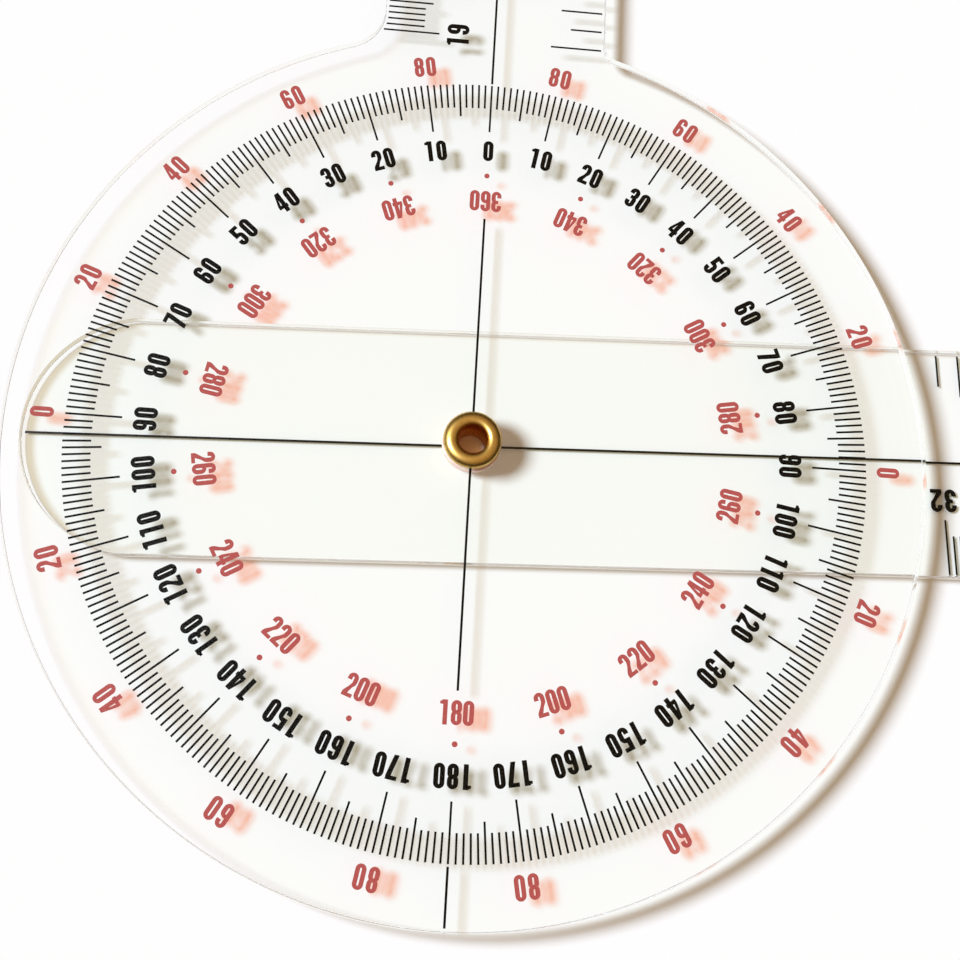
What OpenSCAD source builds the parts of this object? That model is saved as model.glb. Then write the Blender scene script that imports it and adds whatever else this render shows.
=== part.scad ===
// Clear plastic goniometer: a full-circle dial in one piece with its fixed arm, and a second arm
// that turns under the dial on a set eyelet. Both arms carry a ruler, and the two rulers read as
// one when the arms are opened to a straight line. All print is on the undersides of the two clear
// plates and is read through them.
// The origin is on the pivot's axis, in the upper face of the dial. +Y runs along the fixed arm and
// +Z upwards, to the reader.

/* [Dial plate] */
// Diameter of the dial
dial_d = 126; // [105:0.5:155]
// Thickness of the dial and the fixed arm
dial_t = 2.0; // [1.2:0.1:3]
// Radius of the hollow corner between the dial and the centimetre edge of the fixed arm
cm_side_corner_r = 6.5; // [1:0.5:8]
// Radius of the hollow corner between the dial and the inch edge of the fixed arm
inch_side_corner_r = 2.5; // [0.5:0.5:8]

/* [Arms] */
// Width of both arms
arm_w = 33; // [26:0.5:40]
// Reach of both arms, from the pivot to the tip
arm_reach = 254; // [200:1:310]
// Thickness of the moving arm
arm_t = 2.0; // [1.2:0.1:3]
// Reach of the moving arm's tail, from the pivot
tail_reach = 61; // [48:0.5:75]
// Length of the rounded part of an arm's end
arm_end_l = 14; // [11:0.5:18]
// Angle at which the arms are set, read from the fixed arm
arm_reading = 87.6; // [0:0.1:360]

/* [Eyelet] */
// Diameter of the hole through the eyelet
eyelet_bore_d = 4.0; // [3:0.1:5]
// Thickness of the eyelet's metal
eyelet_wall = 0.35; // [0.25:0.05:0.45]
// Diameter of the eyelet's domed flange
flange_d = 8.0; // [6.6:0.1:10]
// How far the rolled end on the back spreads past the bore
clinch_spread = 0.95; // [0.95:0.05:1.8]
// Height of the straight foot under the flange's dome and under the rolled end
rim_foot_h = 0.1; // [0.05:0.05:0.4]
// Diameter of the washer between the dial and the moving arm
washer_d = 8.2; // [6:0.1:9]
// Thickness of the washer
washer_t = 0.5; // [0.3:0.1:1]

/* [Fits] */
// Clearance round the eyelet where it is set fast
set_clearance = 0.02; // [0.01:0.01:0.05]
// Clearance round the eyelet where a piece turns on it
turning_clearance = 0.05; // [0.02:0.01:0.1]
// Clearance above and below the moving arm
face_clearance = 0.03; // [0.01:0.01:0.1]

/* [Degree scale] */
// Distance from the dial's edge to the outer ends of the degree marks
degree_margin = 8.0; // [6:0.5:12]
// Length of the mark at each degree
degree_mark_l = 3.8; // [2.5:0.1:5]
// Length of the mark at every fifth degree
five_degree_mark_l = 5.2; // [3:0.1:7]
// Length of the mark at every tenth degree
ten_degree_mark_l = 7.6; // [5:0.1:10]
// Width of the degree marks
degree_mark_w = 0.28; // [0.15:0.01:0.4]
// Distance from the dial's edge to the ring of dots
dot_margin = 22.7; // [20:0.1:28]
// Diameter of a dot
dot_d = 0.75; // [0.4:0.05:1.2]
// Angle from one dot to the next
dot_step = 20; // [10, 20, 30]
// Thickness of the printed ink
ink_t = 0.04; // [0.02:0.01:0.1]

/* [Rulers] */
// Distance from an arm's tip to the ruler's zero
ruler_inset = 1; // [0.5:0.5:3]
// Bare margin along an arm's edge
edge_margin = 0.4; // [0.2:0.1:1]
// Bare margin along the dial's edge
dial_margin = 1; // [0.5:0.5:3]
// Length of a millimetre mark
mm_mark_l = 5.5; // [3:0.1:7]
// Length of a five millimetre mark
half_cm_mark_l = 6.6; // [4:0.1:8]
// Length of a centimetre mark
cm_mark_l = 7.8; // [5:0.1:9]
// Length of an eighth of an inch mark
eighth_mark_l = 4.7; // [3:0.1:6]
// Length of a quarter inch mark
quarter_mark_l = 6.2; // [4:0.1:7.5]
// Length of a half inch mark
half_mark_l = 7.6; // [5:0.1:9]
// Length of an inch mark
inch_mark_l = 9.0; // [6:0.1:10]
// Width of the ruler marks
ruler_mark_w = 0.26; // [0.15:0.01:0.4]
// Shortest stretch of a mark that is printed where an arm's rounded end cuts the marks short
shortest_mark_l = 1.5; // [1:0.5:3]

/* [Index lines] */
// Width of the index lines
index_w = 0.32; // [0.2:0.01:0.5]
// Reach of the dial's middle line to each side of the pivot
middle_line_reach = 33.5; // [26:0.5:36]
// Gap between an index line and what it stops at
index_gap = 0.3; // [0.1:0.1:1]

/* [Hidden] */
$fn = 96;

// Units of the two rulers
mm = 1;
cm = 10;
inch = 25.4;
marks_per_inch = 8;

// Radii that the pieces share
dial_r = dial_d / 2;
bore_r = eyelet_bore_d / 2;
barrel_r = bore_r + eyelet_wall;
flange_r = flange_d / 2;
clinch_r = bore_r + clinch_spread;
dial_hole_r = barrel_r + set_clearance;
degree_r = dial_r - degree_margin;
dot_r = dial_r - dot_margin;

// Heights of the faces, from the upper face of the dial down. The washer lies against the print.
dial_back_z = -dial_t;
dial_print_z = dial_back_z - ink_t;
washer_back_z = dial_print_z - washer_t;
arm_back_z = washer_back_z - face_clearance - arm_t;
arm_print_z = arm_back_z - ink_t;
clinch_z = arm_back_z - face_clearance;

// An arm's end is one arc over the arm's whole width, never more than half round
end_half_w = arm_w / 2;
end_l = min(arm_end_l, end_half_w - 0.5);
end_r = (pow(end_half_w, 2) + pow(end_l, 2)) / (2 * end_l);

// The two rulers read as one over both arms: the fixed arm's counts from the zero at its tip to the
// last whole centimetre before the dial, and the moving arm's from the first one past the dial
ruler_zero = arm_reach - ruler_inset;
straight_l = 2 * ruler_zero;
fixed_ruler_l = floor((ruler_zero - dial_r + dial_margin) / cm) * cm;
moving_ruler_start = ceil((ruler_zero + dial_r - dial_margin) / cm) * cm;

// Half the width that an arm's outline leaves for print, at a distance from its tip
function print_half_w(tip_distance) =
    (tip_distance >= end_l ? end_half_w
        : sqrt(pow(end_r, 2) - pow(end_r - tip_distance, 2))) - edge_margin;

// Height of the centre of the hollow corner between the dial and the fixed arm
function hollow_corner_y(r) = sqrt(pow(dial_r + r, 2) - pow(end_half_w + r, 2));

// How far the outline has spread from the fixed arm's edge at a height in the hollow corner
function hollow_corner_spread(r, y) =
    let (drop = hollow_corner_y(r) - y)
    drop <= 0 ? 0 : r - sqrt(max(0, pow(r, 2) - pow(drop, 2)));

// Length of a millimetre ruler's mark, counted from its zero
function cm_ruler_mark(count) =
    count % 10 == 0 ? cm_mark_l : count % 5 == 0 ? half_cm_mark_l : mm_mark_l;

// Length of an inch ruler's mark, counted in eighths from its zero
function inch_ruler_mark(count) =
    count % 8 == 0 ? inch_mark_l
        : count % 4 == 0 ? half_mark_l
        : count % 2 == 0 ? quarter_mark_l : eighth_mark_l;

// Length of the dial's mark at an angle
function dial_mark(angle) =
    angle % 10 == 0 ? ten_degree_mark_l
        : angle % 5 == 0 ? five_degree_mark_l : degree_mark_l;

// Straight stretch of an arm along +Y
module arm_straight(from, to, thickness)
{
    translate([-end_half_w, from, 0])
        cube([arm_w, to - from, thickness]);
}

// Rounded end of an arm along +Y, at the end of its reach
module arm_end(reach, thickness)
{
    intersection() {
        arm_straight(reach - end_l, reach, thickness);
        translate([0, reach - end_r, 0])
            cylinder(h = thickness, r = end_r);
    }
}

// Fill of the corner between the dial and the fixed arm's edge on the right, before it is hollowed.
// It reaches to the points where the hollow's arc runs into the edge and into the dial.
module corner_fill(r)
{
    x = end_half_w + r;
    y = hollow_corner_y(r);
    share = dial_r / (dial_r + r);
    linear_extrude(dial_t)
        polygon([[0, y], [x, y], [x * share, y * share], [0, 0]]);
}

// Round cut that hollows the corner, past both faces of the plate
module corner_hollow(r)
{
    translate([end_half_w + r, hollow_corner_y(r), -1])
        cylinder(h = dial_t + 2, r = r);
}

module dial_plate()
{
    color([0.96, 0.97, 0.96, 0.35])
        translate([0, 0, dial_back_z])
            difference() {
                union() {
                    cylinder(h = dial_t, r = dial_r, $fn = 360);
                    arm_straight(0, arm_reach - end_l, dial_t);
                    arm_end(arm_reach, dial_t);
                    corner_fill(inch_side_corner_r);
                    mirror([1, 0, 0])
                        corner_fill(cm_side_corner_r);
                }
                corner_hollow(inch_side_corner_r);
                mirror([1, 0, 0])
                    corner_hollow(cm_side_corner_r);
                translate([0, 0, -1])
                    cylinder(h = dial_t + 2, r = dial_hole_r);
            }
}

// One printed mark: it starts at a point, runs along +X and is centred on that line
module mark(start, length, width)
{
    translate([start[0], start[1] - width / 2, 0])
        cube([length, width, ink_t]);
}

// Places print on the underside of the dial
module under_dial()
{
    translate([0, 0, dial_print_z])
        children();
}

// A whole circle of degree marks, their outer ends on one ring
module degree_marks()
{
    color("black")
        under_dial()
            for (angle = [0 : 359])
                rotate(angle)
                    mark([degree_r - dial_mark(angle), 0], dial_mark(angle), degree_mark_w);
}

module degree_dots()
{
    color([0.84, 0.31, 0.33])
        under_dial()
            for (angle = [0 : dot_step : 359])
                rotate(angle)
                    translate([0, dot_r, 0])
                        cylinder(h = ink_t, d = dot_d, $fn = 24);
}

// Index line of an arm along +Y, from one distance to another
module index_line(from, to)
{
    translate([-index_w / 2, from, 0])
        cube([index_w, to - from, ink_t]);
}

// The dial's line runs down the fixed arm, stops at the degree marks and crosses the pivot
module dial_index_line()
{
    color("black")
        under_dial() {
            index_line(degree_r + index_gap, arm_reach - edge_margin);
            index_line(dial_hole_r + index_gap, middle_line_reach);
            rotate(180) {
                index_line(dial_hole_r + index_gap, middle_line_reach);
                index_line(degree_r + index_gap, dial_r - edge_margin);
            }
        }
}

// One ruler mark on an arm's left edge at y. It starts at the outline, the arm's edge spread by what a
// hollow corner adds, and ends at its length from the straight edge.
module ruler_mark(y, length, spread = 0)
{
    reach = print_half_w(arm_reach - y) + spread;
    inner_end = end_half_w - edge_margin - length;
    if (reach - inner_end > shortest_mark_l)
        mark([-reach, y], reach - inner_end, ruler_mark_w);
}

module fixed_arm_cm_ruler()
{
    color("black")
        under_dial()
            for (count = [0 : fixed_ruler_l / mm]) {
                y = ruler_zero - count * mm;
                ruler_mark(y, cm_ruler_mark(count), hollow_corner_spread(cm_side_corner_r, y));
            }
}

module fixed_arm_inch_ruler()
{
    color("black")
        under_dial()
            mirror([1, 0, 0])
                for (count = [0 : round(fixed_ruler_l / inch * marks_per_inch)]) {
                    y = ruler_zero - count * inch / marks_per_inch;
                    spread = hollow_corner_spread(inch_side_corner_r, y);
                    ruler_mark(y, inch_ruler_mark(count), spread);
                }
}

// Cross-section of a rolled rim, open towards -Y: it leaves the bore's wall and comes down at r
module rolled_rim(r)
{
    roll_r = (r - bore_r) / 2;
    translate([bore_r, 0])
        square([eyelet_wall, rim_foot_h]);
    translate([r - eyelet_wall, 0])
        square([eyelet_wall, rim_foot_h]);
    translate([bore_r + roll_r, rim_foot_h])
        difference() {
            circle(roll_r, $fn = 48);
            circle(roll_r - eyelet_wall, $fn = 48);
            translate([-2 * roll_r, -2 * roll_r])
                square([4 * roll_r, 2 * roll_r]);
        }
}

// Brass eyelet: a barrel, a domed flange on the dial and an end rolled out under the moving arm
module eyelet()
{
    color([0.80, 0.62, 0.28])
        rotate_extrude() {
            translate([bore_r, clinch_z])
                square([eyelet_wall, -clinch_z]);
            rolled_rim(flange_r);
            translate([0, clinch_z])
                mirror([0, 1])
                    rolled_rim(clinch_r);
        }
}

// Thin washer that keeps the moving arm off the dial's print
module washer()
{
    color([0.93, 0.93, 0.90])
        translate([0, 0, washer_back_z])
            difference() {
                cylinder(h = washer_t, d = washer_d);
                translate([0, 0, -1])
                    cylinder(h = washer_t + 2, r = barrel_r + turning_clearance);
            }
}

// Places what is drawn along +Y on the moving arm at a height, at the angle at which the arm is set
module on_moving_arm(z)
{
    translate([0, 0, z])
        rotate(-arm_reading)
            children();
}

module moving_arm()
{
    color([0.96, 0.97, 0.96, 0.35])
        on_moving_arm(arm_back_z)
            difference() {
                union() {
                    arm_straight(end_l - tail_reach, arm_reach - end_l, arm_t);
                    arm_end(arm_reach, arm_t);
                    rotate(180)
                        arm_end(tail_reach, arm_t);
                }
                translate([0, 0, -1])
                    cylinder(h = arm_t + 2, r = barrel_r + turning_clearance);
            }
}

module moving_arm_index_line()
{
    color("black")
        on_moving_arm(arm_print_z) {
            index_line(clinch_r + index_gap, arm_reach - edge_margin);
            rotate(180)
                index_line(clinch_r + index_gap, tail_reach - edge_margin);
        }
}

// The moving arm's centimetres stand on the edge that follows the fixed arm's when it is opened out
module moving_arm_cm_ruler()
{
    color("black")
        on_moving_arm(arm_print_z)
            mirror([1, 0, 0])
                for (count = [moving_ruler_start / mm : straight_l / mm])
                    ruler_mark(count * mm - ruler_zero, cm_ruler_mark(count));
}

module moving_arm_inch_ruler()
{
    mark_pitch = inch / marks_per_inch;
    color("black")
        on_moving_arm(arm_print_z)
            for (count = [ceil(moving_ruler_start / mark_pitch) : floor(straight_l / mark_pitch)])
                ruler_mark(count * mark_pitch - ruler_zero, inch_ruler_mark(count));
}

dial_plate();
degree_marks();
degree_dots();
dial_index_line();
fixed_arm_cm_ruler();
fixed_arm_inch_ruler();
eyelet();
washer();
moving_arm();
moving_arm_index_line();
moving_arm_cm_ruler();
moving_arm_inch_ruler();
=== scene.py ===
"""Looks of the clear plastic goniometer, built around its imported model. Lengths are in metres."""

import math
from collections import namedtuple
from functools import cache

import bmesh
import bpy
from mathutils import Matrix, Vector
from mathutils.geometry import delaunay_2d_cdt


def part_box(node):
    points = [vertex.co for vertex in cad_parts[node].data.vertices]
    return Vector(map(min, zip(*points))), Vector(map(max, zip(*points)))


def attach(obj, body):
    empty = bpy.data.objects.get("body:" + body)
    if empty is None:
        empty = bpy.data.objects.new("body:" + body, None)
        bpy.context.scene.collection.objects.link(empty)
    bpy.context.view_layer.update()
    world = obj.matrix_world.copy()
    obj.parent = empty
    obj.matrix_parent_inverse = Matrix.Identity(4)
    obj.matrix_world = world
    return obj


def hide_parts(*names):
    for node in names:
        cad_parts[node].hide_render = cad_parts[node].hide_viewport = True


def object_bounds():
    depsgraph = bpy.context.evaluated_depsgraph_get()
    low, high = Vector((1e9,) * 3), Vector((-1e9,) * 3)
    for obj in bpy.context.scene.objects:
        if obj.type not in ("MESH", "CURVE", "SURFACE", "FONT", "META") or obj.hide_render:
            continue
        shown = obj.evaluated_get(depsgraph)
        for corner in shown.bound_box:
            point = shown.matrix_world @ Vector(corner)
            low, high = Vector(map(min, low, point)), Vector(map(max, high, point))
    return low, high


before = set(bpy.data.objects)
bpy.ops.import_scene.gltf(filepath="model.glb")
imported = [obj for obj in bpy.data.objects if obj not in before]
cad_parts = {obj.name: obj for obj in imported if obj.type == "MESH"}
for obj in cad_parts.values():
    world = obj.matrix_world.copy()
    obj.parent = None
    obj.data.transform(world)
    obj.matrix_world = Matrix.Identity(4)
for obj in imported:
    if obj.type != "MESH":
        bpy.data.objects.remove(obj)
cad_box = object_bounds()
MM = 0.001

# ---------------------------------------------------------------------------------------------
# Dial plate
# The full-circle dial and the fixed arm are one piece, cut from 2 mm clear cast acrylic sheet.
# The cut edges are polished and slightly rounded, and the eyelet's hole is drilled at the middle.
# ---------------------------------------------------------------------------------------------

dial_low, dial_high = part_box("dial_plate")
print_low, print_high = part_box("degree_marks")
dial_r = -dial_low.x
arm_reach = dial_high.y
arm_half_w = 16.5 * MM
arm_end_l = 14 * MM
cm_side_corner_r = 6.5 * MM
inch_side_corner_r = 2.5 * MM
plate_hole_r = 2.37 * MM
edge_round = 0.12 * MM
edge_steps = 6
# The plate's lower face stays just clear of the print's, so the two never lie in one plane
print_gap = 0.005 * MM
ARC_STEP = 1.0
HOLE_POINTS = 96


def arc(centre, radius, first, last):
    """Points on an arc from one angle to another, in degrees, with both ends."""
    steps = max(2, 2 * round(abs(last - first) / ARC_STEP / 2))
    angles = [math.radians(first + (last - first) * i / steps) for i in range(steps + 1)]
    x, y = centre
    return [Vector((x + radius * math.cos(a), y + radius * math.sin(a))) for a in angles]


def arm_end(reach):
    """An arm's rounded end, from its right edge to its left: one arc over the whole width."""
    radius = (arm_half_w**2 + arm_end_l**2) / (2 * arm_end_l)
    tilt = math.degrees(math.asin((radius - arm_end_l) / radius))
    return arc((0, reach - radius), radius, tilt, 180 - tilt)


def hollow_corner(radius, side):
    """The hollow corner between the dial and the fixed arm, from the arm down, on the side -1 or 1."""
    centre = Vector((side * (arm_half_w + radius), 0))
    centre.y = math.sqrt((dial_r + radius) ** 2 - centre.x**2)
    towards_pivot = math.degrees(math.atan2(-centre.y, -centre.x)) % 360
    towards_arm = 180 if side > 0 else 360
    return arc(centre, radius, towards_arm, towards_pivot)


def dial_outline():
    """The outline of the dial with its arm, anticlockwise from the arm's tip."""
    tip = arm_end(arm_reach)
    middle = len(tip) // 2
    left = hollow_corner(cm_side_corner_r, -1)
    right = hollow_corner(inch_side_corner_r, 1)
    left_angle = math.degrees(math.atan2(left[-1].y, left[-1].x))
    right_angle = math.degrees(math.atan2(right[-1].y, right[-1].x)) + 360
    rim = arc((0, 0), dial_r, left_angle, 270)[1:] + arc((0, 0), dial_r, 270, right_angle)[1:-1]
    return tip[middle:] + left + rim + right[::-1] + tip[:middle]


def inset(outline, distance):
    """The outline moved inwards by a distance, each point along the mean of its two edges' normals."""
    moved = []
    for i, point in enumerate(outline):
        before = (point - outline[i - 1]).normalized()
        after = (outline[(i + 1) % len(outline)] - point).normalized()
        along = (before + after).normalized()
        inwards = Vector((-along.y, along.x))
        moved.append(point + inwards * distance / along.dot(after))
    return moved


def new_piece(name, mesh, *materials):
    """An object made of a finished bmesh and its materials."""
    data = bpy.data.meshes.new(name)
    mesh.to_mesh(data)
    mesh.free()
    for material in materials:
        data.materials.append(material)
    piece = bpy.data.objects.new(name, data)
    bpy.context.scene.collection.objects.link(piece)
    return piece


def cut_plate(name, outline, low_z, high_z, face_material, edge_material):
    """A flat plate with rounded edges and the pivot's hole."""
    mesh = bmesh.new()
    turns = [math.radians(90 * i / edge_steps) for i in range(edge_steps + 1)]
    lower = [(edge_round * (1 - math.sin(t)), low_z + edge_round * (1 - math.cos(t))) for t in turns]
    upper = [(distance, low_z + high_z - z) for distance, z in reversed(lower)]
    rings = []
    for distance, z in lower + upper:
        rings.append([mesh.verts.new((p.x, p.y, z)) for p in inset(outline, distance)])
    circle = [2 * math.pi * i / HOLE_POINTS for i in range(HOLE_POINTS)]
    holes = []
    for z in (low_z, high_z):
        points = [(-plate_hole_r * math.sin(a), plate_hole_r * math.cos(a), z) for a in circle]
        holes.append([mesh.verts.new(p) for p in points])
    foot = min(range(len(outline)), key=lambda i: outline[i].y)
    half = HOLE_POINTS // 2
    for ring, hole in ((rings[0], holes[0]), (rings[-1], holes[1])):
        left = ring[: foot + 1] + hole[half::-1]
        right = ring[foot:] + [ring[0], hole[0]] + hole[: half - 1 : -1]
        for loop in (left, right):
            mesh.faces.new(loop if ring is rings[-1] else loop[::-1])
    for lower_ring, upper_ring in [*zip(rings, rings[1:]), (holes[1], holes[0])]:
        for i in range(len(lower_ring)):
            j = (i + 1) % len(lower_ring)
            face = mesh.faces.new((lower_ring[i], lower_ring[j], upper_ring[j], upper_ring[i]))
            face.material_index = 1
            face.smooth = True
    return new_piece(name, mesh, face_material, edge_material)


def srgb(hex_code):
    """The linear colour of an sRGB hex value."""
    parts = [int(hex_code[i : i + 2], 16) / 255 for i in (1, 3, 5)]
    return (*(p / 12.92 if p <= 0.04045 else ((p + 0.055) / 1.055) ** 2.4 for p in parts), 1)


def add_node(owner, kind, inputs=None, **settings):
    """Adds a node to a material or world. An input is a value or the output that feeds it."""
    tree = owner.node_tree
    node = tree.nodes.new(kind)
    for name, value in settings.items():
        setattr(node, name, value)
    for name, value in (inputs or {}).items():
        if isinstance(value, bpy.types.NodeSocket):
            tree.links.new(value, node.inputs[name])
        else:
            node.inputs[name].default_value = value
    return node


def new_material(name):
    """A material with an empty node tree."""
    material = bpy.data.materials.new(name)
    material.use_nodes = True
    material.node_tree.nodes.clear()
    return material


def clear_acrylic(name, roughness, entering_light, leaving_light):
    """Clear acrylic. Lamplight goes straight on through it, tinted where it enters and leaves."""
    material = new_material(name)
    place = add_node(material, "ShaderNodeTexCoord").outputs["Object"]
    # Cast sheet is never quite flat: swells about 9 mm across, too shallow to bend a printed line
    swell = add_node(material, "ShaderNodeTexNoise", {
        "Vector": place, "Scale": 1 / (9 * MM), "Detail": 1.0})
    bump = add_node(material, "ShaderNodeBump", {
        "Height": swell.outputs["Fac"], "Strength": 0.03, "Distance": 0.05 * MM})
    # Handling marks about 2 mm long leave the polish a little uneven
    marks = add_node(material, "ShaderNodeTexNoise", {
        "Vector": place, "Scale": 1 / (2 * MM), "Detail": 4.0})
    polish = add_node(material, "ShaderNodeMapRange", {
        "Value": marks.outputs["Fac"], "From Min": 0.35, "From Max": 0.75,
        "To Min": roughness, "To Max": roughness * 1.8})
    # It bends light as acrylic does, but reflects less, so that black ink under it stays black
    glass = add_node(material, "ShaderNodeBsdfPrincipled", {
        "Base Color": (1, 1, 1, 1), "Roughness": polish.outputs["Result"], "IOR": 1.49,
        "Specular IOR Level": 0.02, "Specular Tint": (0.25, 0.25, 0.25, 1), "Transmission Weight": 1.0,
        "Normal": bump.outputs["Normal"]})
    # A ray that is followed back to the lamp meets the face where light enters from behind
    facing = add_node(material, "ShaderNodeNewGeometry")
    tint = add_node(material, "ShaderNodeMix", {
        0: facing.outputs["Backfacing"], 6: srgb(leaving_light), 7: srgb(entering_light)},
        data_type="RGBA")
    straight = add_node(material, "ShaderNodeBsdfTransparent", {"Color": tint.outputs[2]})
    # The room's light comes from all round, so the plate takes away no more than a shade of it
    through = add_node(material, "ShaderNodeBsdfTransparent", {"Color": srgb("#FEFEFF")})
    path = add_node(material, "ShaderNodeLightPath")
    bounced = add_node(material, "ShaderNodeMixShader", {
        0: path.outputs["Is Diffuse Ray"], 1: glass.outputs[0], 2: through.outputs[0]})
    surface = add_node(material, "ShaderNodeMixShader", {
        0: path.outputs["Is Shadow Ray"], 1: bounced.outputs[0], 2: straight.outputs[0]})
    add_node(material, "ShaderNodeOutputMaterial", {"Surface": surface.outputs[0]})
    return material


# Cast acrylic, polished: nearly colourless, so the paper below it is only a shade darker
acrylic_face = clear_acrylic("clear_acrylic_polished_face", 0.008, "#FEFFFD", "#FEFFFD")
# Cast acrylic, cut edge: it keeps in light that meets it from inside, so its far side's shadow is dark
acrylic_edge = clear_acrylic("clear_acrylic_cut_edge", 0.1, "#FBF8F1", "#40392C")

dial_plate = cut_plate(
    "dial_plate_acrylic", dial_outline(), dial_low.z + print_gap, dial_high.z,
    acrylic_face, acrylic_edge)
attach(dial_plate, "dial")
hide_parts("dial_plate")

# ---------------------------------------------------------------------------------------------
# Degree marks, dots and the dial's index line
# Screen-printed on the dial's lower face: black for the marks and lines, red for the dots.
# The ink dries to a thin film, and so does that of the numerals and rulers below.
# ---------------------------------------------------------------------------------------------


def printing_ink(name, colour, thin_colour, passing_light=None):
    """Screen-printing ink, uneven in thickness. It may let some tinted lamplight through."""
    material = new_material(name)
    place = add_node(material, "ShaderNodeTexCoord").outputs["Object"]
    # The screen's mesh leaves the film uneven about every 0.2 mm
    film = add_node(material, "ShaderNodeTexNoise", {
        "Vector": place, "Scale": 1 / (0.2 * MM), "Detail": 2.0})
    cover = add_node(material, "ShaderNodeMapRange", {
        "Value": film.outputs["Fac"], "From Min": 0.35, "From Max": 0.7})
    tint = add_node(material, "ShaderNodeMix", {
        0: cover.outputs["Result"], 6: srgb(colour), 7: srgb(thin_colour)}, data_type="RGBA")
    gloss = add_node(material, "ShaderNodeMapRange", {
        "Value": film.outputs["Fac"], "To Min": 0.5, "To Max": 0.7})
    bump = add_node(material, "ShaderNodeBump", {
        "Height": film.outputs["Fac"], "Strength": 0.15, "Distance": 0.01 * MM})
    surface = add_node(material, "ShaderNodeBsdfPrincipled", {
        "Base Color": tint.outputs[2], "Roughness": gloss.outputs["Result"], "Specular IOR Level": 0.0,
        "Normal": bump.outputs["Normal"]})
    if passing_light:
        straight = add_node(material, "ShaderNodeBsdfTransparent", {"Color": srgb(passing_light)})
        path = add_node(material, "ShaderNodeLightPath")
        surface = add_node(material, "ShaderNodeMixShader", {
            0: path.outputs["Is Shadow Ray"], 1: surface.outputs[0], 2: straight.outputs[0]})
    add_node(material, "ShaderNodeOutputMaterial", {"Surface": surface.outputs[0]})
    return material


# Black screen-printing ink: dense and matt where it lies against the plate, its shadow a soft grey
black_ink = printing_ink("black_screen_printing_ink", "#030303", "#0B0B0B", "#A4AC9C")
# The same ink in fine lines: a thinner film, so the ring of marks casts only a faint warm shadow
fine_black_ink = printing_ink("black_screen_printing_ink_fine_lines", "#030303", "#0B0B0B", "#CDBE9E")
# Red screen-printing ink: a soft coral red, thin enough to let pink light through
red_ink = printing_ink("red_screen_printing_ink", "#B04E4C", "#C4625F", "#FAC6B6")


def print_on(node_name, ink):
    """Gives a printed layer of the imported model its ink."""
    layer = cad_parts[node_name].data
    layer.materials.clear()
    layer.materials.append(ink)


print_on("degree_marks", fine_black_ink)
print_on("dial_index_line", fine_black_ink)
print_on("degree_dots", red_ink)

# ---------------------------------------------------------------------------------------------
# Dial numerals
# Three rings in a plain condensed face: black 0 to 180 both ways from the fixed arm, red 360 to
# 180 inside them with their tops to the pivot, and outside the marks red 80 to 0, the angle from
# a right angle. They are printed with the marks. A digit is drawn 1 high.
# ---------------------------------------------------------------------------------------------

# Widths of a digit and of its upright and level strokes, as shares of its height
TypeFace = namedtuple("TypeFace", "width stem bar")
black_face = TypeFace(0.455, 0.2, 0.17)
red_face = TypeFace(0.44, 0.185, 0.155)
BOWL_STEP = 15
WAIST = 0.52
TERMINAL = 0.31
ink_t = print_high.z - print_low.z


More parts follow.
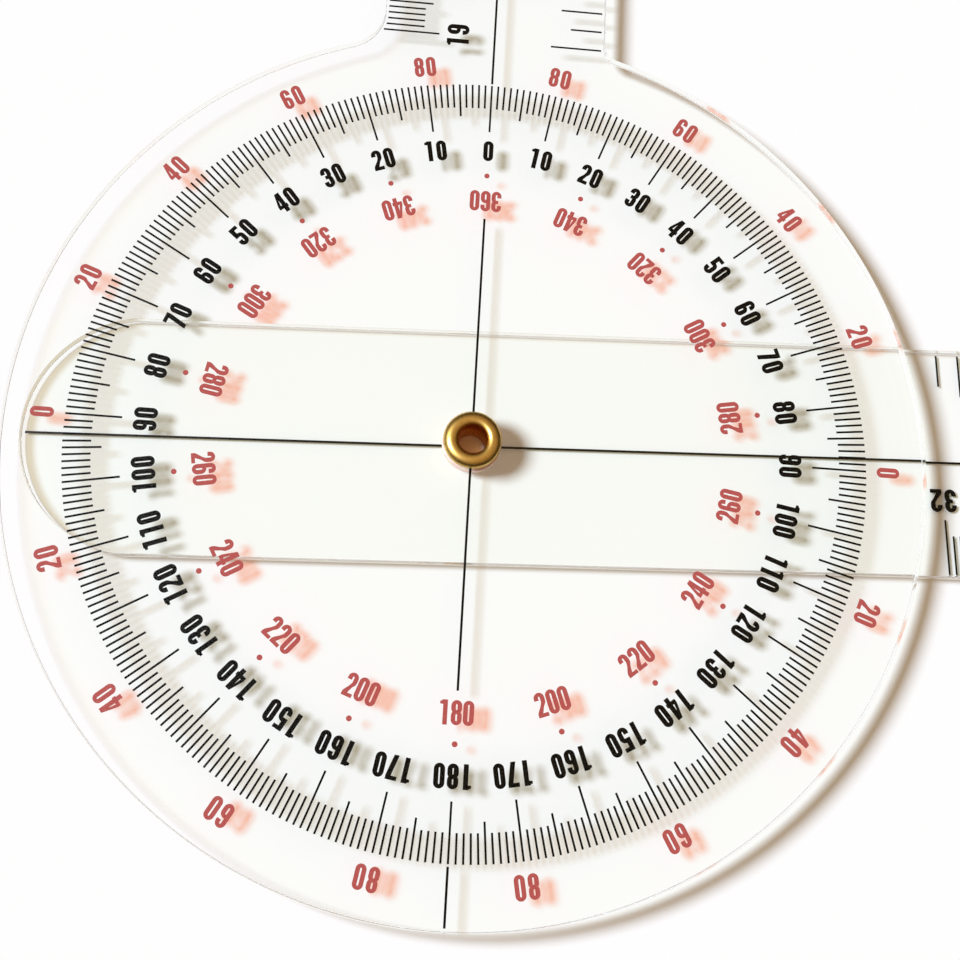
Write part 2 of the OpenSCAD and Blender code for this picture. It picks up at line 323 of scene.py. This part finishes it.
def digit_strokes(digit, face):
    """The strokes of a digit, as polygons that may overlap."""
    width, stem, bar = face
    arc_r = width / 2
    lower_top = WAIST + bar / 2
    upper_foot = WAIST - bar / 2

    def box(left, low, right, high):
        return [[(left, low), (right, low), (right, high), (left, high)]]

    def bowl(low, high, first=0, last=360):
        """A stroke round an upright oval of the full width, by degrees anticlockwise from the right."""
        reach_y = min(arc_r, (high - low) / 2)
        track = []
        for half_turn in range(first // 180, -(-last // 180)):
            y = low + reach_y if half_turn % 2 else high - reach_y
            start = max(first, 180 * half_turn)
            end = min(last, 180 * (half_turn + 1))
            steps = max(1, round((end - start) / BOWL_STEP))
            for i in range(steps + 1):
                turn = math.radians(start + (end - start) * i / steps)
                track.append((
                    (arc_r + arc_r * math.cos(turn), y + reach_y * math.sin(turn)),
                    (arc_r + (arc_r - stem) * math.cos(turn), y + (reach_y - bar) * math.sin(turn))))
        if last - first == 360:
            track.append(track[0])
        return [[a[0], b[0], b[1], a[1]] for a, b in zip(track, track[1:])]

    upper_hook = bowl(0, 1, 0, 180) + box(0, 1 - TERMINAL, stem, 1 - arc_r)
    lower_hook = box(0, arc_r, stem, TERMINAL)
    if digit == "0":
        return bowl(0, 1)
    if digit == "1":
        left = arc_r + 0.03 - stem / 2
        flag = [(left - 0.13, 0.83), (left + 0.01, 0.81), (left + 0.01, 1), (left - 0.03, 1),
                (left - 0.06, 0.95), (left - 0.13, 0.94)]
        return box(left, 0, left + stem, 1) + [flag]
    if digit == "2":
        sweep = [(width, 0.66), (0.96 * width, 0.55), (0.72 * width, 0.40), (stem + 0.03, bar),
                 (0, bar), (0, 0.15), (0.04, 0.24), (0.42 * width, 0.45), (width - stem, 0.60),
                 (width - stem, 0.66)]
        return upper_hook + box(width - stem, 0.66, width, 1 - arc_r) + [sweep] + box(0, 0, width, bar)
    if digit == "3":
        return (upper_hook + bowl(upper_foot, 1, -90, 0) + bowl(0, lower_top, -180, 90) + lower_hook
                + box(width - stem, upper_foot + arc_r, width, 1 - arc_r)
                + box(0.3 * width, upper_foot, arc_r, lower_top))
    if digit == "4":
        right = 0.88 * width
        left = right - stem
        slope = [(0, 0.21), (0, 0.21 + bar), (left - 0.01, 1), (left + 0.01, 1), (left + 0.01, 0.72),
                 (0.3 * width, 0.21 + bar), (0.3 * width, 0.21)]
        return box(left, 0, right, 1) + box(0, 0.21, width, 0.21 + bar) + [slope]
    if digit == "5":
        left = 0.03
        return (box(left, 1 - bar, 0.96 * width, 1) + box(left, 0.46, left + stem, 1)
                + bowl(0, 0.645, -180, 135) + lower_hook)
    if digit == "7":
        stroke = [(width - stem - 0.01, 1 - bar), (width, 1 - bar), (0.6 * width, 0),
                  (0.6 * width - stem, 0)]
        return box(0, 1 - bar, width, 1) + [stroke]
    if digit == "8":
        return bowl(0, lower_top) + bowl(upper_foot, 1)
    six = (bowl(0, 1, 0, 180) + box(0, arc_r, stem, 1 - arc_r) + bowl(0, 0.6)
           + box(width - stem, 1 - TERMINAL, width, 1 - arc_r))
    return six if digit == "6" else [[(width - x, 1 - y) for x, y in stroke] for stroke in six]


@cache
def digit_shape(digit, face):
    """A digit as points, triangles and outline edges, its strokes united."""
    points, strokes = [], []
    for stroke in digit_strokes(digit, face):
        if sum(a[0] * b[1] - b[0] * a[1] for a, b in zip(stroke, stroke[1:] + stroke[:1])) < 0:
            stroke = stroke[::-1]
        strokes.append(range(len(points), len(points) + len(stroke)))
        points += [Vector(p) for p in stroke]
    found = delaunay_2d_cdt(points, [], [list(s) for s in strokes], 1, 1e-4, True)
    triangles = [t for t, inside in zip(found[2], found[5]) if inside]
    edges = {(t[i], t[(i + 1) % len(t)]) for t in triangles for i in range(len(t))}
    return found[0], triangles, sorted(e for e in edges if e[::-1] not in edges)


def print_numerals(name, labels, face, height, pitch, low_z, ink):
    """Numbers as one solid layer of ink. A label is its text, its centre and its upward direction."""
    mesh = bmesh.new()
    for text, centre, up in labels:
        along = Vector((up.y, -up.x))
        for i, digit in enumerate(text):
            corner = (i - (len(text) - 1) / 2) * pitch - face.width * height / 2
            points, triangles, outline = digit_shape(digit, face)
            places = [
                centre + along * (corner + x * height) + up * ((y - 0.5) * height) for x, y in points]
            low = [mesh.verts.new((*p, low_z)) for p in places]
            high = [mesh.verts.new((*p, low_z + ink_t)) for p in places]
            for t in triangles:
                mesh.faces.new([high[k] for k in t])
                mesh.faces.new([low[k] for k in reversed(t)])
            for a, b in outline:
                mesh.faces.new((low[a], low[b], high[b], high[a]))
    return new_piece(name, mesh, ink)


def ring_label(number, angle, radius, tops_out):
    """A number on a ring, at an angle from the fixed arm in degrees, its top outwards or inwards."""
    out = Vector((math.sin(math.radians(angle)), math.cos(math.radians(angle))))
    return str(number), out * radius, out if tops_out else -out


def both_ways(angles):
    """The angles on both sides of the fixed arm, without doubling 0 and 180."""
    return list(angles) + [-a for a in angles if a % 180]


number_h = 3.2 * MM
wide_pitch = 1.76 * MM
close_pitch = 1.57 * MM
forward_r = 44.3 * MM
backward_r = 36.3 * MM
slope_r = 58.1 * MM
forward_labels = [ring_label(abs(a), a, forward_r, True) for a in both_ways(range(0, 181, 10))]
backward_labels = [ring_label(360 - abs(a), a, backward_r, False) for a in both_ways(range(0, 181, 20))]
slope_labels = [ring_label(abs(90 - abs(a)), a, slope_r, True) for a in both_ways(range(10, 171, 20))]
for name, labels, face, pitch, ink, ink_slot in (
        ("forward_degree_numerals", forward_labels, black_face, wide_pitch, black_ink, "black_ink"),
        ("backward_degree_numerals", backward_labels, red_face, close_pitch, red_ink, "red_ink"),
        ("slope_degree_numerals", slope_labels, red_face, wide_pitch, red_ink, "red_ink")):
    numerals = print_numerals(name, labels, face, number_h, pitch, print_low.z, ink)
    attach(numerals, "dial")

# ---------------------------------------------------------------------------------------------
# Fixed arm's rulers
# Printed in black along both edges of the fixed arm: centimetres and millimetres on one edge,
# inches and eighths on the other. Both count from the tip, and each number stands by its mark.
# ---------------------------------------------------------------------------------------------

print_on("fixed_arm_cm_ruler", black_ink)
print_on("fixed_arm_inch_ruler", black_ink)

ruler_face = TypeFace(0.5, 0.205, 0.165)
ruler_number_h = 3.3 * MM
ruler_pitch = 2.05 * MM
cm_number_x = -5.5 * MM
inch_number_x = 4.3 * MM
CM = 10 * MM
INCH = 25.4 * MM
ruler_end_gap = 1 * MM
ruler_zero = arm_reach - ruler_end_gap


def ruler_labels(counts, unit, across, start, step):
    """Numbers along an arm that runs along +Y. Their tops face the edge that they stand at."""
    up = Vector((math.copysign(1, across), 0))
    return [(str(n), Vector((across, start + step * n * unit)), up) for n in counts]


last_cm = math.floor((ruler_zero - dial_r) / CM)
last_inch = math.floor((ruler_zero - dial_r) / INCH)
for name, counts, unit, across in (
        ("fixed_arm_cm_numerals", range(1, last_cm + 1), CM, cm_number_x),
        ("fixed_arm_inch_numerals", range(1, last_inch + 1), INCH, inch_number_x)):
    labels = ruler_labels(counts, unit, across, ruler_zero, -1)
    numerals = print_numerals(
        name, labels, ruler_face, ruler_number_h, ruler_pitch, print_low.z, black_ink)
    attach(numerals, "dial")

# ---------------------------------------------------------------------------------------------
# Eyelet
# The pivot is a drawn brass eyelet. Its domed flange sits on the dial, its barrel goes down
# through both plates and the washer, and its end is rolled outwards under the moving arm.
# ---------------------------------------------------------------------------------------------

bore_r = 2.0 * MM
brass_t = 0.35 * MM
flange_r = 4.0 * MM
clinch_r = 2.95 * MM
rim_foot = 0.1 * MM
clinch_z = -4.60 * MM
TURNS = 144
ROLL_STEPS = 28


def rolled_rim(outer_r, face_z, side):
    """A rim rolled outwards, as (radius, height): its outer face, its inner face and its free edge."""
    roll_r = (outer_r - bore_r) / 2
    middle = outer_r - roll_r
    turns = [math.pi * i / ROLL_STEPS for i in range(ROLL_STEPS + 1)]
    base = face_z + side * rim_foot
    outer = [(middle + roll_r * math.cos(t), base + side * roll_r * math.sin(t)) for t in turns]
    thin_r = roll_r - brass_t
    inner = [(middle + thin_r * math.cos(t), base + side * thin_r * math.sin(t)) for t in turns]
    # The free edge is small and round, so every fourth step is enough for it
    lip_r = brass_t / 2
    lip = [(outer_r - lip_r - lip_r * math.cos(t), face_z + side * (lip_r - lip_r * math.sin(t)))
           for t in turns[::4]]
    return outer, inner, lip


def turned(name, profile, material, points=TURNS):
    """A solid of revolution round the pivot's axis, from a closed profile of (radius, height)."""
    mesh = bmesh.new()
    rings = []
    for radius, z in profile:
        angles = [2 * math.pi * i / points for i in range(points)]
        rings.append([mesh.verts.new((radius * math.cos(a), radius * math.sin(a), z)) for a in angles])
    for ring, after in zip(rings, rings[1:] + rings[:1]):
        for i in range(points):
            j = (i + 1) % points
            face = mesh.faces.new((ring[i], ring[j], after[j], after[i]))
            face.smooth = True
    bmesh.ops.recalc_face_normals(mesh, faces=mesh.faces)
    return new_piece(name, mesh, material)


flange_inner, flange_lip = rolled_rim(flange_r, dial_high.z, 1)[1:]
# Setting the eyelet spreads the flange's inner side to a shallow funnel that ends sharply at the bore
foot_z = dial_high.z + rim_foot
crest_r = 2.8 * MM
crest_z = foot_z + (flange_r - bore_r) / 2
funnel_slope = math.radians(50)
funnel_r = (crest_r - bore_r) / math.sin(funnel_slope)
quarter = [math.pi / 2 * i / ROLL_STEPS for i in range(ROLL_STEPS)]
slopes = [funnel_slope * i / ROLL_STEPS for i in range(ROLL_STEPS + 1)]
flange_outer = (
    [(crest_r + (flange_r - crest_r) * math.cos(t), foot_z + (crest_z - foot_z) * math.sin(t))
     for t in quarter]
    + [(crest_r - funnel_r * math.sin(t), crest_z - funnel_r * (1 - math.cos(t))) for t in slopes])
clinch_outer, clinch_inner, clinch_lip = rolled_rim(clinch_r, clinch_z, -1)
eyelet_profile = (
    flange_lip[::-1] + flange_outer + clinch_outer[::-1]
    + clinch_lip + clinch_inner + flange_inner[::-1])

# Drawn brass, bright-dipped: a warm, soft mirror, unevenly dulled by drawing and handling
brass = new_material("drawn_brass_bright")
brass_place = add_node(brass, "ShaderNodeTexCoord").outputs["Object"]
brass_wear = add_node(brass, "ShaderNodeTexNoise", {
    "Vector": brass_place, "Scale": 1 / (0.6 * MM), "Detail": 3.0})
brass_shade = add_node(brass, "ShaderNodeMapRange", {
    "Value": brass_wear.outputs["Fac"], "From Min": 0.4, "From Max": 0.7})
brass_tint = add_node(brass, "ShaderNodeMix", {
    0: brass_shade.outputs["Result"], 6: srgb("#E6BE6C"), 7: srgb("#D2A657")}, data_type="RGBA")
# Painted shade: the bore's wall is painted a darker, deeper orange, which fades to the plain brass
# across the metal's thickness. It stands in for the shade and warm reflections inside the barrel
brass_flat = add_node(
    brass, "ShaderNodeVectorMath", {0: brass_place, 1: (1, 1, 0)}, operation="MULTIPLY")
brass_radius = add_node(
    brass, "ShaderNodeVectorMath", {0: brass_flat.outputs[0]}, operation="LENGTH")
bore_painted_shade = add_node(brass, "ShaderNodeMapRange", {
    "Value": brass_radius.outputs["Value"], "From Min": bore_r, "From Max": bore_r + brass_t})
brass_colour = add_node(brass, "ShaderNodeMix", {
    0: bore_painted_shade.outputs["Result"], 6: srgb("#BE7A28"), 7: brass_tint.outputs[2]}, data_type="RGBA")
brass_polish = add_node(brass, "ShaderNodeMapRange", {
    "Value": brass_wear.outputs["Fac"], "From Min": 0.3, "From Max": 0.7,
    "To Min": 0.26, "To Max": 0.34})
brass_bump = add_node(brass, "ShaderNodeBump", {
    "Height": brass_wear.outputs["Fac"], "Strength": 0.02, "Distance": 0.02 * MM})
brass_metal = add_node(brass, "ShaderNodeBsdfPrincipled", {
    "Base Color": brass_colour.outputs[2], "Metallic": 1.0, "Roughness": brass_polish.outputs["Result"],
    "Normal": brass_bump.outputs["Normal"]})
add_node(brass, "ShaderNodeOutputMaterial", {"Surface": brass_metal.outputs[0]})

eyelet = turned("eyelet_brass", eyelet_profile, brass)
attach(eyelet, "dial")
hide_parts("eyelet")

# ---------------------------------------------------------------------------------------------
# Washer
# A punched washer of pinkish polyamide between the dial and the moving arm, which keeps the two
# plates from scratching each other and makes the arm turn evenly.
# ---------------------------------------------------------------------------------------------

washer_low, washer_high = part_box("washer")
washer_r = washer_high.y
washer_bore_r = 2.4 * MM
washer_edge = 0.06 * MM
washer_outside = [
    (washer_r - washer_edge, washer_low.z), (washer_r, washer_low.z + washer_edge),
    (washer_r, washer_high.z - washer_edge), (washer_r - washer_edge, washer_high.z)]
washer_inside = [
    (washer_bore_r + washer_edge, washer_high.z), (washer_bore_r, washer_high.z - washer_edge),
    (washer_bore_r, washer_low.z + washer_edge), (washer_bore_r + washer_edge, washer_low.z)]
washer_profile = washer_outside + washer_inside

# Polyamide sheet: cloudy and pinkish, dull, and a little light goes through it
polyamide = new_material("polyamide_punched_sheet")
polyamide_place = add_node(polyamide, "ShaderNodeTexCoord").outputs["Object"]
polyamide_cloud = add_node(polyamide, "ShaderNodeTexNoise", {
    "Vector": polyamide_place, "Scale": 1 / (0.8 * MM)})
polyamide_tint = add_node(polyamide, "ShaderNodeMix", {
    0: polyamide_cloud.outputs["Fac"], 6: srgb("#F0DCD4"), 7: srgb("#E6CCC2")}, data_type="RGBA")
polyamide_solid = add_node(polyamide, "ShaderNodeBsdfPrincipled", {
    "Base Color": polyamide_tint.outputs[2], "Roughness": 0.45, "Subsurface Weight": 0.3,
    "Subsurface Scale": 0.5 * MM})
add_node(polyamide, "ShaderNodeOutputMaterial", {"Surface": polyamide_solid.outputs[0]})

washer = turned("washer_polyamide", washer_profile, polyamide)
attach(washer, "dial")
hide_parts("washer")

# ---------------------------------------------------------------------------------------------
# Moving arm
# A straight arm of the same sheet with both ends rounded, turning on the eyelet under the dial.
# Its rulers go on counting from the fixed arm's when both arms lie in one line.
# ---------------------------------------------------------------------------------------------

arm_low, arm_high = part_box("moving_arm")
arm_print_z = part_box("moving_arm_index_line")[0].z
arm_reading = 87.6
tail_reach = 61 * MM
arm_turn = Matrix.Rotation(math.radians(-arm_reading), 4, "Z")

tip = arm_end(arm_reach)
tail = [-p for p in arm_end(tail_reach)]
arm_outline = tip[len(tip) // 2 :] + tail + tip[: len(tip) // 2]
# Cast acrylic, cut edge close to the paper: it casts a beige line where light enters it, too
low_acrylic_edge = clear_acrylic("clear_acrylic_cut_edge_near_paper", 0.1, "#CFC6B0", "#40392C")
moving_arm = cut_plate(
    "moving_arm_acrylic", arm_outline, arm_low.z + print_gap, arm_high.z,
    acrylic_face, low_acrylic_edge)
moving_arm.data.transform(arm_turn)
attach(moving_arm, "arm")
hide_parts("moving_arm")

print_on("moving_arm_index_line", black_ink)
print_on("moving_arm_cm_ruler", black_ink)
print_on("moving_arm_inch_ruler", black_ink)

# The numbers start outside the dial and stop just short of the arm's end
numbers_from = ruler_zero + dial_r
numbers_to = 2 * ruler_zero - arm_end_l / 4
first_cm = math.ceil(numbers_from / CM)
first_inch = math.ceil(numbers_from / INCH)
whole_cm = math.floor(numbers_to / CM)
whole_inch = math.floor(numbers_to / INCH)
for name, counts, unit, across in (
        ("moving_arm_cm_numerals", range(first_cm, whole_cm + 1), CM, -cm_number_x),
        ("moving_arm_inch_numerals", range(first_inch, whole_inch + 1), INCH, -inch_number_x)):
    labels = ruler_labels(counts, unit, across, -ruler_zero, 1)
    numerals = print_numerals(
        name, labels, ruler_face, ruler_number_h, ruler_pitch, arm_print_z, black_ink)
    numerals.data.transform(arm_turn)
    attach(numerals, "arm")

# ---------------------------------------------------------------------------------------------
# Table
# The object lies on a matt white sheet that runs on past the view.
# ---------------------------------------------------------------------------------------------

table_half_w = 3.0
table_z = cad_box[0].z
table_mesh = bmesh.new()
corners = [(-1, -1), (1, -1), (1, 1), (-1, 1)]
table_mesh.faces.new(
    [table_mesh.verts.new((x * table_half_w, y * table_half_w, table_z)) for x, y in corners])
# Matt paper: an even white without gloss
paper = new_material("matt_white_paper")
paper_surface = add_node(paper, "ShaderNodeBsdfDiffuse", {"Color": srgb("#FCFCFC")})
add_node(paper, "ShaderNodeOutputMaterial", {"Surface": paper_surface.outputs[0]})
table = new_piece("table", table_mesh, paper)

# ---------------------------------------------------------------------------------------------
# Camera and light
# The camera looks almost straight down from just below the dial's middle. Daylight comes from a
# window on the upper left, and the room fills in from all round.
# ---------------------------------------------------------------------------------------------

camera_place = Vector((-9.05, -41.59, 143.34)) * MM
camera_target = Vector((-2.76, -7.50, -1.34)) * MM
camera_roll = 14.24
camera_data = bpy.data.cameras.new("camera")
camera_data.lens = 41.27
camera_data.shift_x = 0.0329
camera_data.shift_y = 0.0153
camera_data.clip_start = 10 * MM
camera_data.clip_end = 10.0
camera = bpy.data.objects.new("camera", camera_data)
bpy.context.scene.collection.objects.link(camera)
view = (camera_target - camera_place).to_track_quat("-Z", "Y").to_matrix().to_4x4()
camera.matrix_world = (
    Matrix.Translation(camera_place) @ view @ Matrix.Rotation(math.radians(camera_roll), 4, "Z"))
bpy.context.scene.camera = camera

window_place = Vector((-201.6, 12.6, 257.0)) * MM
window_distance = window_place.length
window_data = bpy.data.lights.new("window", "POINT")
window_data.energy = 4.58
window_data.color = (0.765, 0.87, 0.985)
window_data.shadow_soft_size = 49 * MM
# A broad window lights the whole table evenly: distance and slant dim this lamp by the third power
window_data.use_nodes = True
window_data.node_tree.nodes.clear()
window_path = add_node(window_data, "ShaderNodeLightPath")
window_reach = add_node(window_data, "ShaderNodeMath", {
    0: window_path.outputs["Ray Length"], 1: window_distance}, operation="DIVIDE")
window_even = add_node(window_data, "ShaderNodeMath", {
    0: window_reach.outputs[0], 1: 3.0}, operation="POWER")
window_glow = add_node(window_data, "ShaderNodeEmission", {"Strength": window_even.outputs[0]})
add_node(window_data, "ShaderNodeOutputLight", {"Surface": window_glow.outputs[0]})
window = bpy.data.objects.new("window", window_data)
window.location = window_place
window.visible_camera = False
window.visible_transmission = False
bpy.context.scene.collection.objects.link(window)

world = bpy.data.worlds.new("room")
world.use_nodes = True
world.node_tree.nodes.clear()
bpy.context.scene.world = world
# The room's light reaches the paper only as bounced light, so it isn't cut off by the plates' edges
world.cycles.sampling_method = "NONE"
room_path = add_node(world, "ShaderNodeLightPath")
room_direction = add_node(world, "ShaderNodeTexCoord").outputs["Generated"]
room_height = add_node(world, "ShaderNodeSeparateXYZ", {"Vector": room_direction})
# What shines in the brass: a window on the upper left, a pale ceiling and dark, warm walls
towards_window = add_node(world, "ShaderNodeVectorMath", {
    0: room_direction, 1: window_place.normalized()}, operation="DOT_PRODUCT")
window_share = add_node(world, "ShaderNodeMapRange", {
    "Value": towards_window.outputs["Value"], "From Min": 0.74, "From Max": 0.92})
window_brightness = 1.15
window_shine = add_node(world, "ShaderNodeMath", {
    0: window_share.outputs["Result"], 1: window_brightness}, operation="MULTIPLY")
ceiling_shine = add_node(world, "ShaderNodeMapRange", {
    "Value": room_height.outputs["Z"], "From Min": 0.35, "From Max": 0.95,
    "To Min": 0.03, "To Max": 0.55})
shine = add_node(world, "ShaderNodeMath", {
    0: window_shine.outputs[0], 1: ceiling_shine.outputs["Result"]}, operation="MAXIMUM")
shine_tint = add_node(world, "ShaderNodeMix", {
    0: window_share.outputs["Result"], 6: srgb("#FFDDAE"), 7: srgb("#FFFFFF")}, data_type="RGBA")
shining = add_node(world, "ShaderNodeBackground", {
    "Color": shine_tint.outputs[2], "Strength": shine.outputs[0]})
# What lights the scene is a warm room. What the camera sees, also through the plates, is white
room_colour = (1.0, 0.72, 0.45, 1)
lighting = add_node(world, "ShaderNodeBackground", {"Color": room_colour, "Strength": 0.37})
seen = add_node(world, "ShaderNodeBackground", {"Color": srgb("#FAFAFA"), "Strength": 1.0})
looked_at = add_node(world, "ShaderNodeMath", {
    0: room_path.outputs["Is Camera Ray"], 1: room_path.outputs["Is Transmission Ray"]},
    operation="MAXIMUM")
not_mirrored = add_node(world, "ShaderNodeMixShader", {
    0: looked_at.outputs[0], 1: lighting.outputs[0], 2: seen.outputs[0]})
room = add_node(world, "ShaderNodeMixShader", {
    0: room_path.outputs["Is Glossy Ray"], 1: not_mirrored.outputs[0], 2: shining.outputs[0]})
add_node(world, "ShaderNodeOutputWorld", {"Surface": room.outputs[0]})

bpy.context.scene.view_settings.view_transform = "Standard"
# Light that is caught between a plate's faces comes out at a far edge after many reflections
bpy.context.scene.cycles.max_bounces = 128
bpy.context.scene.cycles.glossy_bounces = 96
bpy.context.scene.cycles.transmission_bounces = 96
bpy.context.scene.cycles.transparent_max_bounces = 16
